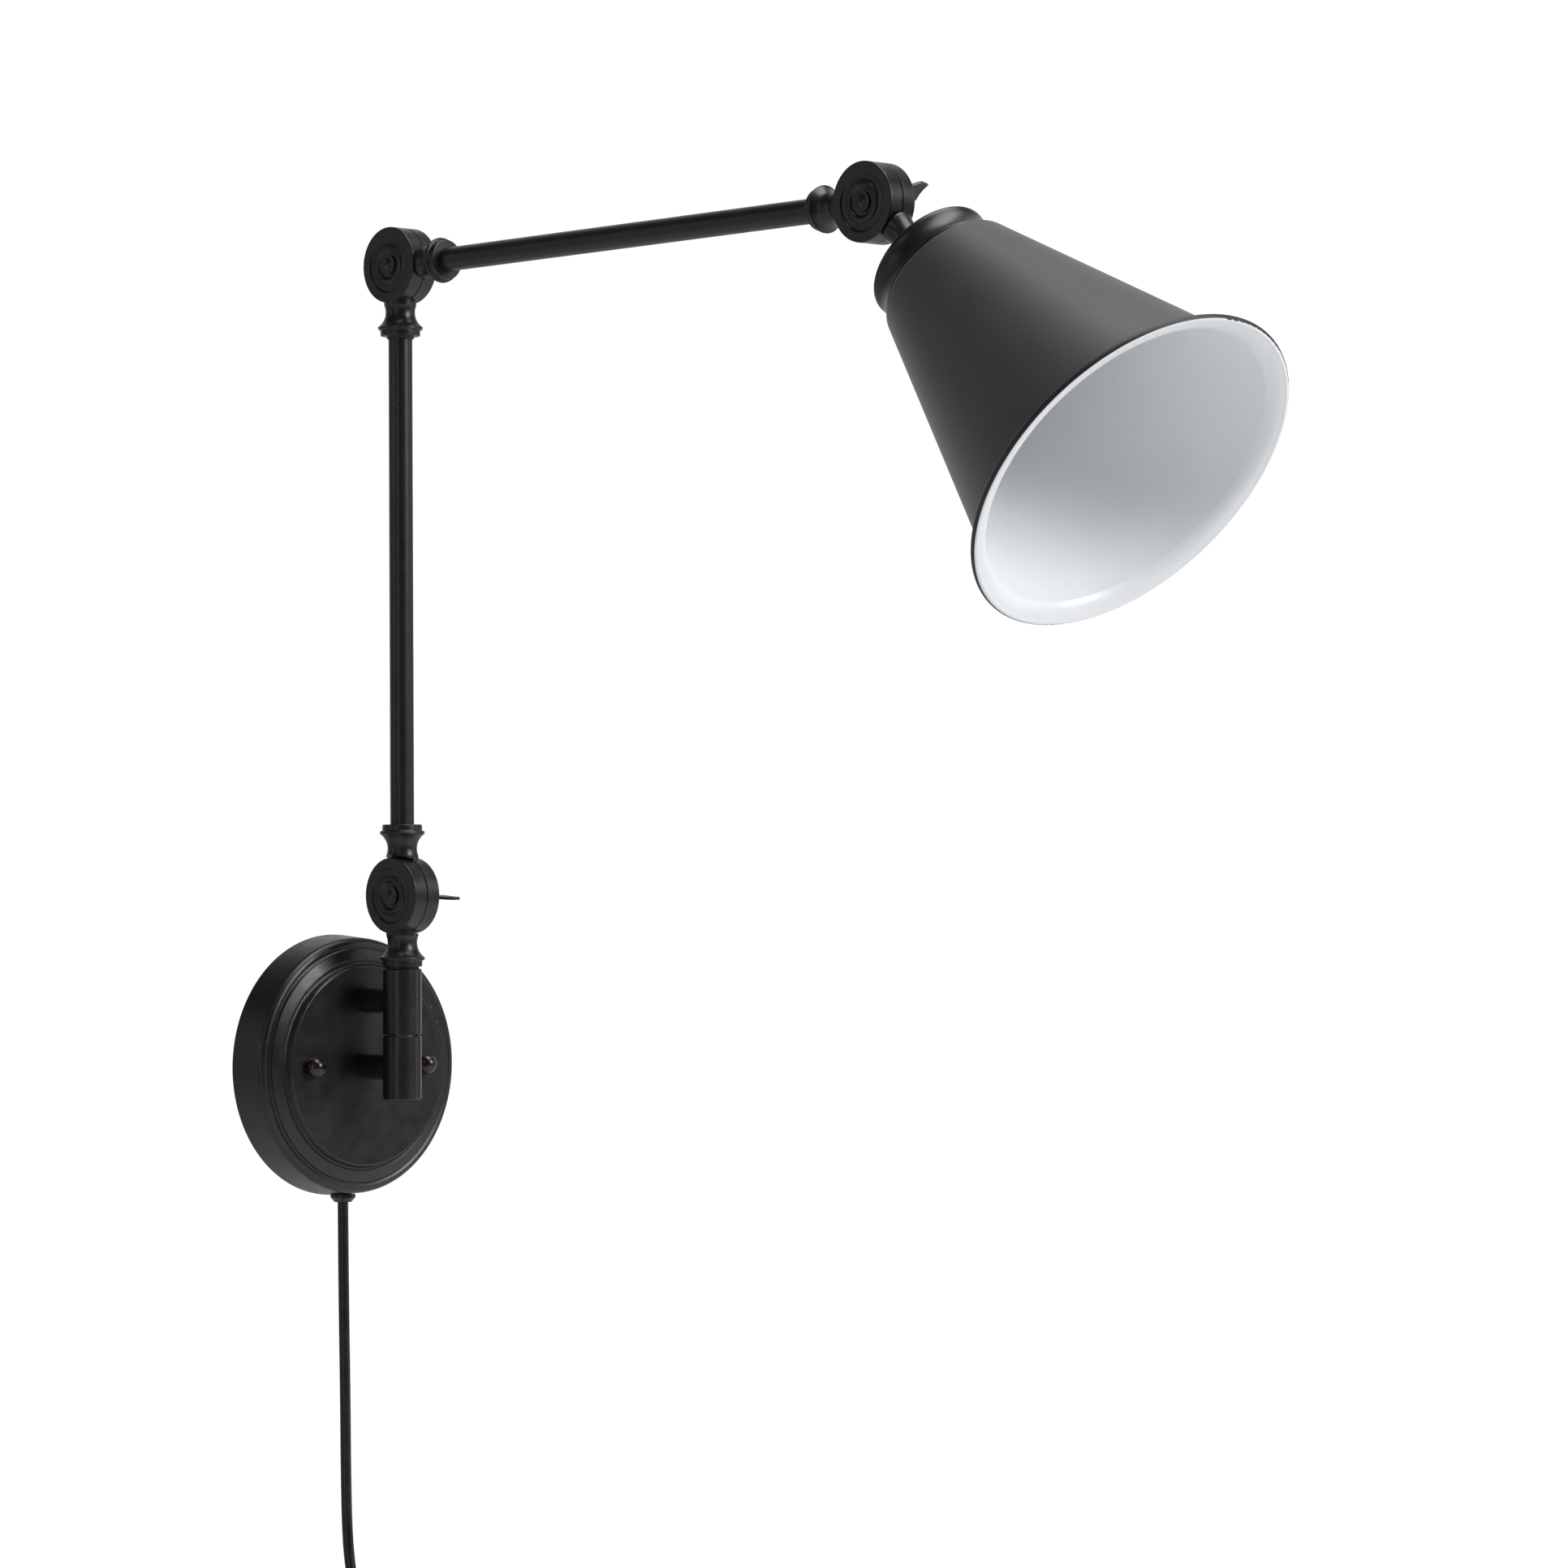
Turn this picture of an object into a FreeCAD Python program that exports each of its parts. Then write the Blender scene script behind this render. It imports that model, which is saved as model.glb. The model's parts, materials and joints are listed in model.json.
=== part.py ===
"""Plug-in swing arm wall sconce, millimetres.

Origin: centre of the canopy's back, on the wall. +Z is up, the room is towards -Y, the wall is the plane
y = 0. The three knuckles turn about axes parallel to X, and the whole arm swings about the barrel's axis.
"""
import FreeCAD, Part

import math
import os

import Sketcher
from FreeCAD import Placement, Rotation, Vector

doc = FreeCAD.newDocument("Sconce")
X_AXIS = Vector(1, 0, 0)
Y_AXIS = Vector(0, 1, 0)
Z_AXIS = Vector(0, 0, 1)

# ---- driving dimensions -------------------------------------------------------------------------------
DIMENSIONS = {
    # canopy on the wall
    "canopy_back_radius": 66.0,
    "canopy_front_radius": 64.6,
    "canopy_wall_depth": 17.1,
    "canopy_band_depth": 22.2,
    "canopy_face_radius": 49.4,
    "canopy_depth": 26.9,
    "canopy_sheet": 1.3,
    "stud_offset": 37.0,
    "stud_radius": 2.0,
    "ball_radius": 5.2,
    "strap_length": 98.0,
    "strap_width": 22.0,
    "strap_sheet": 1.8,
    "slot_offset": 27.0,
    "slot_length": 11.0,
    "slot_width": 4.6,
    # barrel and its two standoffs
    "barrel_out": 53.3,
    "barrel_radius": 9.7,
    "barrel_low": -16.2,
    "barrel_split": 16.0,
    "barrel_high": 49.2,
    "split_gap": 0.6,
    "pocket_radius": 7.6,
    "pocket_high": 8.0,
    "plug_thickness": 3.0,
    "standoff_radius": 6.75,
    "standoff_high": 33.4,
    "spigot_radius": 5.0,
    "wire_hole_radius": 3.4,
    # swivel
    "stem_radius": 5.0,
    "stem_bore": 3.6,
    "run_gap": 0.06,
    # knuckles: two half discs clamped on a bolt
    "disc_radius": 19.0,
    "disc_half": 8.2,
    "face_gap": 0.15,
    "saddle_radius": 20.4,
    "bolt_radius": 3.0,
    "button_radius": 5.0,
    "button_proud": 2.6,
    "neck_waist": 7.42,
    "neck_end": 35.6,
    "tube_stop": 27.6,
    "wing_span": 14.9,
    "wing_out": 25.9,
    "wing_blade": 1.5,
    # arms
    "tube_radius": 6.0,
    "tube_bore": 5.0,
    "low_knuckle_high": 85.9,
    "lower_arm_length": 316.25,
    "lower_arm_lean": 0.4,
    "upper_arm_length": 331.6,
    "upper_arm_rise": 1.05,
    # head, measured along the shade's axis from the head knuckle
    "shade_droop": 39.6,
    "stub_radius": 7.5,
    "nipple_radius": 4.9,
    "cap_top": 46.4,
    "cap_radius": 31.2,
    "cap_lip": 61.0,
    "cap_lip_radius": 32.7,
    "cap_sheet": 1.0,
    "collar_radius": 28.9,
    "shoulder_start": 62.6,
    "shoulder_radius": 33.4,
    "cone_start": 64.0,
    "cone_start_radius": 35.6,
    "cone_end": 203.4,
    "cone_end_radius": 76.9,
    "rim_radius": 86.1,
    "mouth": 209.1,
    "shade_sheet": 0.8,
    "socket_radius": 19.8,
    "socket_end": 108.0,
    "shell_radius": 13.3,
    # mains cord
    "cord_radius": 2.75,
    "cord_out": 8.0,
    "gland_radius": 6.4,
    "gland_low": 69.3,
    "lead_radius": 1.1,
    "coil_inside": 25.9,
    "coil_outside": 37.1,
    "coil_back": 2.9,
    "coil_front": 25.3,
    "coil_middle_z": -319.0,
}

sheet = doc.addObject("Spreadsheet::Sheet", "Sizes")
for row, (alias, number) in enumerate(DIMENSIONS.items(), start=1):
    sheet.set(f"A{row}", alias.replace("_", " "))
    sheet.set(f"B{row}", str(number))
    sheet.setAlias(f"B{row}", alias)
doc.recompute()


class Size:
    """A length together with the sheet formula that gives it."""

    def __init__(self, number, formula=None):
        self.number = float(number)
        self.formula = formula or repr(float(number))

    def _join(self, sign, other, number):
        return Size(number, f"({self.formula} {sign} {other.formula})")

    def __add__(self, other):
        other = as_size(other)
        return self._join("+", other, self.number + other.number)

    def __sub__(self, other):
        other = as_size(other)
        return self._join("-", other, self.number - other.number)

    def __mul__(self, other):
        other = as_size(other)
        return self._join("*", other, self.number * other.number)

    def __neg__(self):
        return Size(-self.number, f"(0 - {self.formula})")

    def __rsub__(self, other):
        return as_size(other) - self

    def __radd__(self, other):
        return self + other

    def __rmul__(self, other):
        return self * other


def as_size(value):
    return value if isinstance(value, Size) else Size(value)


def cell(alias):
    """The sheet's cell with this alias, as a Size."""
    return Size(sheet.get(alias), f"Sizes.{alias}")


def mm(alias):
    """The number in the cell with this alias."""
    return float(sheet.get(alias))


# ---- ways to build ------------------------------------------------------------------------------------
sub_parts = []


def body(label):
    piece = doc.addObject("PartDesign::Body", label)
    piece.Label = label
    sub_parts.append(piece)
    return piece


def bind(feature, **sizes):
    """Binds the feature's properties to the sheet."""
    for name, size in sizes.items():
        feature.setExpression(name, as_size(size).formula)


def origin_plane(piece, role):
    return next(f for f in piece.Origin.OriginFeatures if f.Role == role)


def sketch_on(piece, role, offset=0.0):
    """An empty sketch on one of the body's own planes, or parallel to it."""
    sketch = piece.newObject("Sketcher::SketchObject", "Sketch")
    sketch.AttachmentSupport = (origin_plane(piece, role), [""])
    sketch.MapMode = "FlatFace"
    bind(sketch, **{"AttachmentOffset.Base.z": offset})
    return sketch


def edge_between(start, end, radius):
    """A line, or an arc that bulges to the right of the way it is walked (to the left if negative)."""
    if not radius:
        return Part.LineSegment(start, end)
    first, last = (start, end) if radius > 0 else (end, start)
    chord = last - first
    assert abs(radius) > chord.Length / 2, f"the arc from {start} to {end} is too small"
    left = Vector(-chord.y, chord.x, 0).normalize()
    centre = (first + last) / 2 + left * math.sqrt(radius**2 - (chord.Length / 2) ** 2)
    angles = [math.atan2(spot.y - centre.y, spot.x - centre.x) for spot in (first, last)]
    return Part.ArcOfCircle(Part.Circle(centre, Z_AXIS, abs(radius)), *angles)


def outline(sketch, corners):
    """Draws a closed loop whose corners are bound to the sheet.

    A corner is (across, up), or (across, up, radius) where the edge that leaves it is an arc.
    """
    across = [as_size(c[0]) for c in corners]
    up = [as_size(c[1]) for c in corners]
    radii = [c[2] if len(c) > 2 else 0 for c in corners]
    spots = [Vector(a.number, b.number, 0) for a, b in zip(across, up)]
    count = len(corners)
    edges = [edge_between(spots[i], spots[(i + 1) % count], radii[i]) for i in range(count)]
    first = sketch.GeometryCount
    sketch.addGeometry(edges, False)
    # every arc is drawn anticlockwise, so one that is walked clockwise has its ends swapped
    ends = [arc_ends(sketch.Geometry[first + i], spots[i]) for i in range(count)]
    for i in range(count):
        following = (i + 1) % count
        join = ("Coincident", first + i, ends[i][1], first + following, ends[following][0])
        sketch.addConstraint(Sketcher.Constraint(*join))
    for i in range(count):
        point = (-1, 1, first + i, ends[i][0])
        tie_down(sketch, Sketcher.Constraint("DistanceX", *point, across[i].number), across[i])
        tie_down(sketch, Sketcher.Constraint("DistanceY", *point, up[i].number), up[i])
        if radii[i]:
            size = as_size(abs(radii[i]))
            tie_down(sketch, Sketcher.Constraint("Radius", first + i, size.number), size)


def arc_ends(edge, start):
    """Which stored end of the edge is its start, and which its finish (1 or 2)."""
    return (1, 2) if (edge.StartPoint - start).Length < 1e-6 else (2, 1)


def tie_down(sketch, constraint, size):
    """Adds a dimension to the sketch, bound to the sheet where it depends on it."""
    index = sketch.addConstraint(constraint)
    if "Sizes." in size.formula:
        sketch.setExpression(f"Constraints[{index}]", size.formula)


def circle(sketch, across, up, radius):
    across, up, radius = as_size(across), as_size(up), as_size(radius)
    centre = Vector(across.number, up.number, 0)
    index = sketch.addGeometry(Part.Circle(centre, Z_AXIS, radius.number), False)
    point = (-1, 1, index, 3)
    tie_down(sketch, Sketcher.Constraint("DistanceX", *point, across.number), across)
    tie_down(sketch, Sketcher.Constraint("DistanceY", *point, up.number), up)
    tie_down(sketch, Sketcher.Constraint("Radius", index, radius.number), radius)


def turn(piece, kind, role, axis, corners):
    """A PartDesign Revolution or Groove of the outline about the sketch's own axis."""
    sketch = sketch_on(piece, role)
    outline(sketch, corners)
    feature = piece.newObject(f"PartDesign::{kind}", kind)
    feature.Profile = sketch
    feature.ReferenceAxis = (sketch, [axis])
    feature.Angle = 360.0
    return feature


def turned(piece, corners):
    """Turns (radius, height) corners about the body's Z axis."""
    return turn(piece, "Revolution", "XZ_Plane", "V_Axis", corners)


def turned_on_x(piece, corners):
    """Turns (x, radius) corners about the body's X axis."""
    return turn(piece, "Revolution", "XY_Plane", "H_Axis", corners)


def extrude(piece, kind, role, draw, length, offset=0.0, both=False, backwards=False):
    """A Pad or Pocket of what draw puts in a sketch."""
    sketch = sketch_on(piece, role, offset)
    draw(sketch)
    feature = piece.newObject(f"PartDesign::{kind}", kind)
    feature.Profile = sketch
    feature.Midplane = both
    feature.Reversed = backwards
    bind(feature, Length=length)
    return feature


def ring(label, inner, outer, low, high, bevel=0.0):
    """A plain turned ring about Z, its outer corners bevelled."""
    piece = body(label)
    inner, outer, low, high = (as_size(v) for v in (inner, outer, low, high))
    corners = [(inner, low), (outer - bevel, low), (outer, low + bevel)]
    corners += [(outer, high - bevel), (outer - bevel, high), (inner, high)]
    turned(piece, corners if bevel else [corners[0], corners[1], corners[4], corners[5]])
    return piece


def place(piece, spot, rotation=Rotation()):
    piece.Placement = Placement(spot, rotation)
    return piece


def along_y():
    """Turns a body's +Z to the room, -Y, and keeps its X."""
    return Rotation(X_AXIS, 90)


def heading(angle):
    """Turns a body's +Z about X, to this many degrees above the way into the room."""
    return Rotation(X_AXIS, 90 - angle)


def shape_part(label, shape):
    """A sub-part whose shape is made with Part's own functions."""
    piece = doc.addObject("Part::Feature", label)
    piece.Label = label
    piece.Shape = shape
    sub_parts.append(piece)
    return piece


# ---- where the knuckles are ---------------------------------------------------------------------------
LOW_KNUCKLE = Vector(0, -mm("barrel_out"), mm("low_knuckle_high"))
LOWER_ARM_ANGLE = 90 + mm("lower_arm_lean")
UPPER_ARM_ANGLE = mm("upper_arm_rise")
SHADE_ANGLE = -mm("shade_droop")


def reach(start, length, angle):
    """The point this far from start, at this angle above the way into the room."""
    turn_by = math.radians(angle)
    return start + Vector(0, -math.cos(turn_by), math.sin(turn_by)) * length


ELBOW = reach(LOW_KNUCKLE, mm("lower_arm_length"), LOWER_ARM_ANGLE)
HEAD_KNUCKLE = reach(ELBOW, mm("upper_arm_length"), UPPER_ARM_ANGLE)
BARREL = Vector(0, -mm("barrel_out"), 0)


# ---- canopy and what fixes it to the wall -------------------------------------------------------------
def canopy():
    """A spun cover: side wall, round shoulder, sloping band, thin bead and groove, then the flat face."""
    piece = body("canopy")
    back = cell("canopy_back_radius")
    front = cell("canopy_front_radius")
    wall = cell("canopy_wall_depth")
    band = cell("canopy_band_depth")
    face = cell("canopy_face_radius")
    depth = cell("canopy_depth")
    metal = cell("canopy_sheet")
    outside = [
        (back, 0.0),
        (front, wall, 3.6),
        (front - 3.5, wall + 3.6),
        (front - 4.6, wall + 3.2, -1.6),
        (front - 5.8, band - 0.3),
        (face + 4.8, band + 1.5, 1.0),
        (face + 3.2, band + 1.4, -1.2),
        (face + 1.8, band + 2.2),
        (face + 1.2, depth - 0.9, 1.1),
        (face, depth),
        (0.0, depth),
    ]
    inside = [
        (0.0, depth - metal),
        (face - 0.4, depth - metal),
        (face + 0.4, band + 0.9),
        (face + 1.6, band + 0.1),
        (face + 4.6, band + 0.2),
        (front - 6.4, band - 1.6),
        (front - 5.2, wall + 1.8),
        (front - 3.6, wall + 2.2),
        (front - metal, wall - 0.2),
        (back - metal, 0.0),
    ]
    turned(piece, outside + inside)

    def face_holes(sketch):
        for side in (-1, 1):
            circle(sketch, side * cell("stud_offset"), 0.0, cell("stud_radius") + 0.3)
        circle(sketch, 0.0, 0.0, cell("spigot_radius"))
        circle(sketch, 0.0, cell("standoff_high"), cell("spigot_radius"))

    extrude(piece, "Pocket", "XY_Plane", face_holes, 8.0, offset=depth + 1.0)

    def cord_hole(sketch):
        circle(sketch, 0.0, cell("cord_out"), 4.0)

    extrude(piece, "Pocket", "XZ_Plane", cord_hole, 12.0, offset=58.0, backwards=True)
    place(piece, Vector(), along_y())


def crossbar():
    """The flat strap screwed to the wall or to a ceiling box, with tapped holes for the studs."""
    piece = body("crossbar")
    half = cell("strap_length") * 0.5
    side = cell("strap_width") * 0.5

    def strap(sketch):
        outline(sketch, [(-half, -side), (half, -side, 20), (half, side), (-half, side, 20)])

    extrude(piece, "Pad", "XY_Plane", strap, cell("strap_sheet"))

    def openings(sketch):
        for way in (-1, 1):
            circle(sketch, way * cell("stud_offset"), 0.0, cell("stud_radius"))
            middle = way * cell("slot_offset")
            run = cell("slot_length") * 0.5 - cell("slot_width") * 0.5
            wide = cell("slot_width") * 0.5
            bend = mm("slot_width") / 2 + 0.0005
            corners = [(middle - run, -wide), (middle + run, -wide, bend)]
            corners += [(middle + run, wide), (middle - run, wide, bend)]
            outline(sketch, corners)
        circle(sketch, 0.0, 0.0, 6.5)

    extrude(piece, "Pocket", "XY_Plane", openings, 6.0, offset=cell("strap_sheet") + 1.0)
    place(piece, Vector(), along_y())


def pair(label, build, spots, rotation):
    """Identical pieces that share a node: one body per piece, gathered in a compound."""
    pieces = []
    for number, spot in enumerate(spots, start=1):
        single = body(f"{label}_{number}")
        sub_parts.remove(single)
        build(single)
        place(single, spot, rotation)
        pieces.append(single)
    group = doc.addObject("Part::Compound", label)
    group.Label = label
    group.Links = pieces
    sub_parts.append(group)


STUD_SPOTS = [Vector(way * mm("stud_offset"), 0, 0) for way in (-1, 1)]
STANDOFF_SPOTS = [Vector(0, 0, high) for high in (0.0, mm("standoff_high"))]


def stud(piece):
    length = cell("canopy_depth") + 3.5
    turned(piece, [(0.0, 0.0), (cell("stud_radius"), 0.0), (cell("stud_radius"), length), (0.0, length)])


def stud_nut(piece):
    """The hexagon nut that locks a stud against the crossbar."""
    hexagon_nut(piece, 4.0, cell("stud_radius"), cell("strap_sheet"), 3.0)


def hexagon_nut(piece, flat_radius, bore, low, thickness):
    corner = flat_radius / math.cos(math.radians(30))

    def draw(sketch):
        turns = [math.radians(60 * i) for i in range(6)]
        outline(sketch, [(corner * math.cos(a), corner * math.sin(a)) for a in turns])
        circle(sketch, 0.0, 0.0, bore)

    extrude(piece, "Pad", "XY_Plane", draw, thickness, offset=low)


def ball_nut(piece):
    """A ball-shaped cap nut that sits straight on the canopy's face."""
    face = cell("canopy_depth")
    ball = cell("ball_radius")
    lift = 3.1
    middle = face + lift
    seat = math.sqrt(mm("ball_radius") ** 2 - lift**2)
    size = mm("ball_radius")
    turned(
        piece,
        [
            (cell("stud_radius"), face),
            (seat, face, size),
            (ball, middle, size),
            (0.0, middle + ball),
            (0.0, face + 4.0),
            (cell("stud_radius"), face + 4.0),
        ],
    )


def standoff(label, high, spigot_reach, bored):
    """A round spacer between canopy and barrel, its end hollowed to sit on the barrel."""
    piece = body(label)
    face = cell("canopy_depth")
    out = cell("barrel_out")
    radius = cell("standoff_radius")
    spigot = cell("spigot_radius")
    turned(
        piece,
        [
            (0.0, 13.0),
            (spigot, 13.0),
            (spigot, face),
            (radius, face),
            (radius, out - 4.0),
            (0.0, out - 4.0),
        ],
    )

    def barrel_round(sketch):
        circle(sketch, 0.0, out, cell("barrel_radius"))

    extrude(piece, "Pocket", "XZ_Plane", barrel_round, 30.0, both=True)
    start = out - cell("barrel_radius") - 2.0
    turned(piece, [(0.0, start), (spigot, start), (spigot, out - spigot_reach), (0.0, out - spigot_reach)])
    if bored:

        def wire_way(sketch):
            circle(sketch, 0.0, 0.0, cell("wire_hole_radius"))

        extrude(piece, "Pocket", "XY_Plane", wire_way, 60.0, offset=out)
    place(piece, Vector(0, 0, high), along_y())


def standoff_nut(piece):
    hexagon_nut(piece, 8.0, cell("spigot_radius"), cell("canopy_depth") - cell("canopy_sheet") - 4.5, 4.5)


# ---- barrel -------------------------------------------------------------------------------------------
def barrel_half(label, low, high, pocketed, hole_high):
    """One half of the barrel, bored for the swivel stem, with the hole its standoff fits in."""
    piece = body(label)
    radius = cell("barrel_radius")
    bore = cell("stem_radius") + cell("run_gap")
    bevel = 0.5
    corners = [(radius - bevel, low), (radius, low + bevel), (radius, high - bevel)]
    corners += [(radius - bevel, high), (bore, high)]
    if pocketed:
        pocket = cell("pocket_radius")
        corners += [(bore, cell("pocket_high")), (pocket, cell("pocket_high")), (pocket, low)]
    else:
        corners += [(bore, low)]
    turned(piece, corners)

    def hole(sketch):
        circle(sketch, 0.0, hole_high, cell("spigot_radius"))

    depth = 12.0 if pocketed else 3.0
    start = 12.0 if pocketed else mm("barrel_radius")
    extrude(piece, "Pocket", "XZ_Plane", hole, depth, offset=-start, backwards=True)
    place(piece, BARREL)
    return piece


# ---- knuckles -----------------------------------------------------------------------------------------
def disc_corners(way):
    """Half of a knuckle's disc as (x, radius): ringed outer face, hollow for the wires, bolt boss."""
    gap = cell("face_gap")
    half = cell("disc_half")
    radius = cell("disc_radius")
    hole = cell("bolt_radius") + cell("run_gap")
    floor = half - 0.7
    corners = [
        (gap, 14.6),
        (gap, radius - 0.3),
        (gap + 0.3, radius),
        (half - 0.7, radius, -0.7),
        (half, radius - 0.7),
        (half, 14.4, -0.6),
        (half - 0.6, 13.8, 0.7),
        (half - 0.9, 12.9, 6.5),
        (half - 0.6, 9.9, -0.9),
        (half + 0.2, 8.9, -1.1),
        (half - 0.2, 7.1),
        (floor, 6.4),
        (floor, hole),
        (gap + 0.85, hole),
        (gap + 0.85, 6.4),
        (gap, 6.4),
        (gap, 7.3),
        (5.4, 7.3),
        (5.4, 14.6),
    ]
    # the same profile serves both halves: mirrored in x, its arcs bulge the other way
    return [(way * c[0], c[1], *(way * r for r in c[2:])) for c in corners]


def neck_corners(end_bore, lip=0.0):
    """The spool-shaped neck as (radius, distance from the knuckle's axis), ending in a lip if it has one."""
    end = cell("neck_end")
    stop = cell("tube_stop")
    wire = cell("stem_bore")
    last = [(end_bore, end)]
    if lip:
        last = [(end_bore + 1.1, end), (end_bore + 0.8, end + lip), (end_bore, end + lip)]
    return [
        (wire, 15.6),
        (8.3, 15.6),
        (8.13, 20.0, -9.0),
        (cell("neck_waist") + 3.6, end - 4.85, 0.5),
        (cell("neck_waist") + 3.75, end - 4.0, 0.6),
        (cell("neck_waist") + 3.0, end - 3.2, -0.5),
        (cell("neck_waist") + 2.65, end - 2.5),
        (cell("neck_waist") + 2.55, end - 0.6, 0.6),
        (cell("neck_waist") + 1.95, end),
        *last,
        (end_bore, stop),
        (wire, stop),
    ]


def stub_corners():
    """The plain stub that carries the shade, ending in a threaded nipple."""
    stub = cell("stub_radius")
    top = cell("cap_top")
    nipple = cell("nipple_radius")
    wire = cell("stem_bore")
    return [
        (wire, 15.6),
        (8.2, 15.6),
        (8.1, 20.0, -40.0),
        (stub - 0.4, top - 6.0),
        (stub - 0.4, top - 2.2, -0.75),
        (stub + 0.6, top - 1.6, 0.9),
        (stub + 0.6, top),
        (nipple, top),
        (nipple, top + 9.0),
        (wire, top + 9.0),
    ]


def knuckle_half(label, way, neck, spot, angle):
    """A half disc with its neck, cast in one; way is -1 for the ringed side, +1 for the wing nut's side."""
    piece = body(label)
    turned_on_x(piece, disc_corners(way))
    turned(piece, neck)

    def clearance(sketch):
        circle(sketch, 0.0, 0.0, cell("saddle_radius"))

    # the neck reaches over the other half's disc, so it is hollowed there to let that disc turn
    face = way * cell("face_gap")
    extrude(piece, "Pocket", "YZ_Plane", clearance, 14.0, offset=face, backwards=way < 0)

    def wire_way(sketch):
        circle(sketch, way * 3.2, 0.0, 2.0)

    extrude(piece, "Pocket", "XY_Plane", wire_way, 15.0, offset=25.0)
    place(piece, spot, heading(angle))
    return piece


def pivot_bolt(label, spot, angle):
    """The bolt that clamps a knuckle; its round head is the button in the middle of the rings."""
    piece = body(label)
    floor = cell("disc_half") - 0.7
    apex = cell("disc_half") + cell("button_proud")
    shank = cell("bolt_radius")
    turned_on_x(
        piece,
        [
            (-apex, 0.0, 5.6),
            (-floor - 0.9, cell("button_radius")),
            (-floor, cell("button_radius") - 0.25),
            (-floor, shank),
            (17.2, shank),
            (17.8, shank - 0.6),
            (17.8, 0.0),
        ],
    )
    place(piece, spot, heading(angle))


def side_ring(label, inner, outer, start, end, spot, angle):
    """A washer on a knuckle's bolt, from start to end along X."""
    piece = body(label)
    turned_on_x(piece, [(start, inner), (start, outer), (end, outer), (end, inner)])
    place(piece, spot, heading(angle))
    return piece


def spring_washer(label, spot, angle):
    """A split lock washer under the wing nut."""
    start = cell("disc_half") + 0.35
    piece = side_ring(label, 3.1, 5.4, start, start + 0.7, spot, angle)

    def split(sketch):
        outline(sketch, [(-0.4, 2.0), (0.4, 2.0), (0.4, 7.0), (-0.4, 7.0)])

    extrude(piece, "Pocket", "YZ_Plane", split, 6.0, offset=cell("disc_half") + 3.0)


def wing_nut(label, spot, angle):
    """A wing nut with two broad flat ears, turned to this angle about the bolt."""
    piece = body(label)
    start = cell("disc_half") + 1.1
    hole = cell("bolt_radius") + cell("run_gap")
    turned_on_x(
        piece,
        [
            (start, hole),
            (start, 5.9),
            (start + 1.2, 5.9),
            (start + 2.0, 5.1),
            (start + 6.6, 4.3, -0.6),
            (start + 7.2, 3.7),
            (start + 7.2, hole),
        ],
    )
    span = cell("wing_span")
    out = cell("wing_out")

    def ears(sketch):
        for side in (-1, 1):
            corners = [
                (start + 0.9, side * 3.6),
                (start + 1.3, side * 5.6, side * -17.0),
                (out - 5.4, side * (span - 0.2)),
                (out - 4.0, side * span),
                (out, side * (span - 0.7), side * 15.0),
                (out - 1.5, side * 4.6),
                (start + 6.5, side * 3.6),
            ]
            outline(sketch, corners)

    extrude(piece, "Pad", "XZ_Plane", ears, cell("wing_blade"), both=True)
    place(piece, spot, heading(angle))


def knuckle(name, spot, near, far, angle, wing_angle):
    """One clamped knuckle: near and far are the labels, necks and headings of its two halves."""
    knuckle_half(near[0], -1, near[1], spot, near[2])
    knuckle_half(far[0], 1, far[1], spot, far[2])
    shank = cell("bolt_radius") + 0.1
    half = cell("disc_half")
    pivot_bolt(f"{name}_pivot_bolt", spot, angle)
    friction_gap = cell("face_gap") + 0.85
    side_ring(f"{name}_friction_washer", shank, 6.3, -friction_gap, friction_gap - 0.05, spot, angle)
    side_ring(f"{name}_flat_washer", shank, 6.2, half - 0.65, half + 0.35, spot, angle)
    spring_washer(f"{name}_spring_washer", spot, angle)
    wing_nut(f"{name}_wing_nut", spot, wing_angle)


# ---- arms ---------------------------------------------------------------------------------------------
def arm_tube(label, length, spot, angle):
    stop = cell("tube_stop")
    place(ring(label, cell("tube_bore"), cell("tube_radius"), stop, length - stop), spot, heading(angle))


def leads(label, low, high, spot, angle):
    """Two insulated wires side by side, inside a tube."""

    def wire(piece):
        radius = cell("lead_radius")
        turned(piece, [(0.0, low), (radius, low), (radius, high), (0.0, high)])

    rotation = heading(angle)
    offsets = [rotation.multVec(Vector(0, side * 1.25, 0)) for side in (-1, 1)]
    pair(label, wire, [spot + offset for offset in offsets], rotation)


# ---- head ---------------------------------------------------------------------------------------------
def shade_cap():
    """The spun cup over the socket: flat top, rounded edge, hollowed side and a small lip."""
    piece = body("shade_cap")
    top = cell("cap_top")
    radius = cell("cap_radius")
    lip = cell("cap_lip")
    lip_radius = cell("cap_lip_radius")
    metal = cell("cap_sheet")
    turned(
        piece,
        [
            (cell("nipple_radius"), top),
            (radius - 0.9, top, 0.9),
            (radius, top + 0.9),
            (radius - 0.1, top + 2.2, -15.0),
            (lip_radius - 0.8, lip - 1.3),
            (lip_radius, lip - 0.8, 0.7),
            (lip_radius - 0.3, lip),
            (lip_radius - metal - 0.4, lip),
            (radius - metal - 1.0, lip - 5.0),
            (radius - metal - 0.3, top + metal + 0.8),
            (radius - metal - 1.2, top + metal),
            (cell("nipple_radius"), top + metal),
        ],
    )
    return piece


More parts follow.
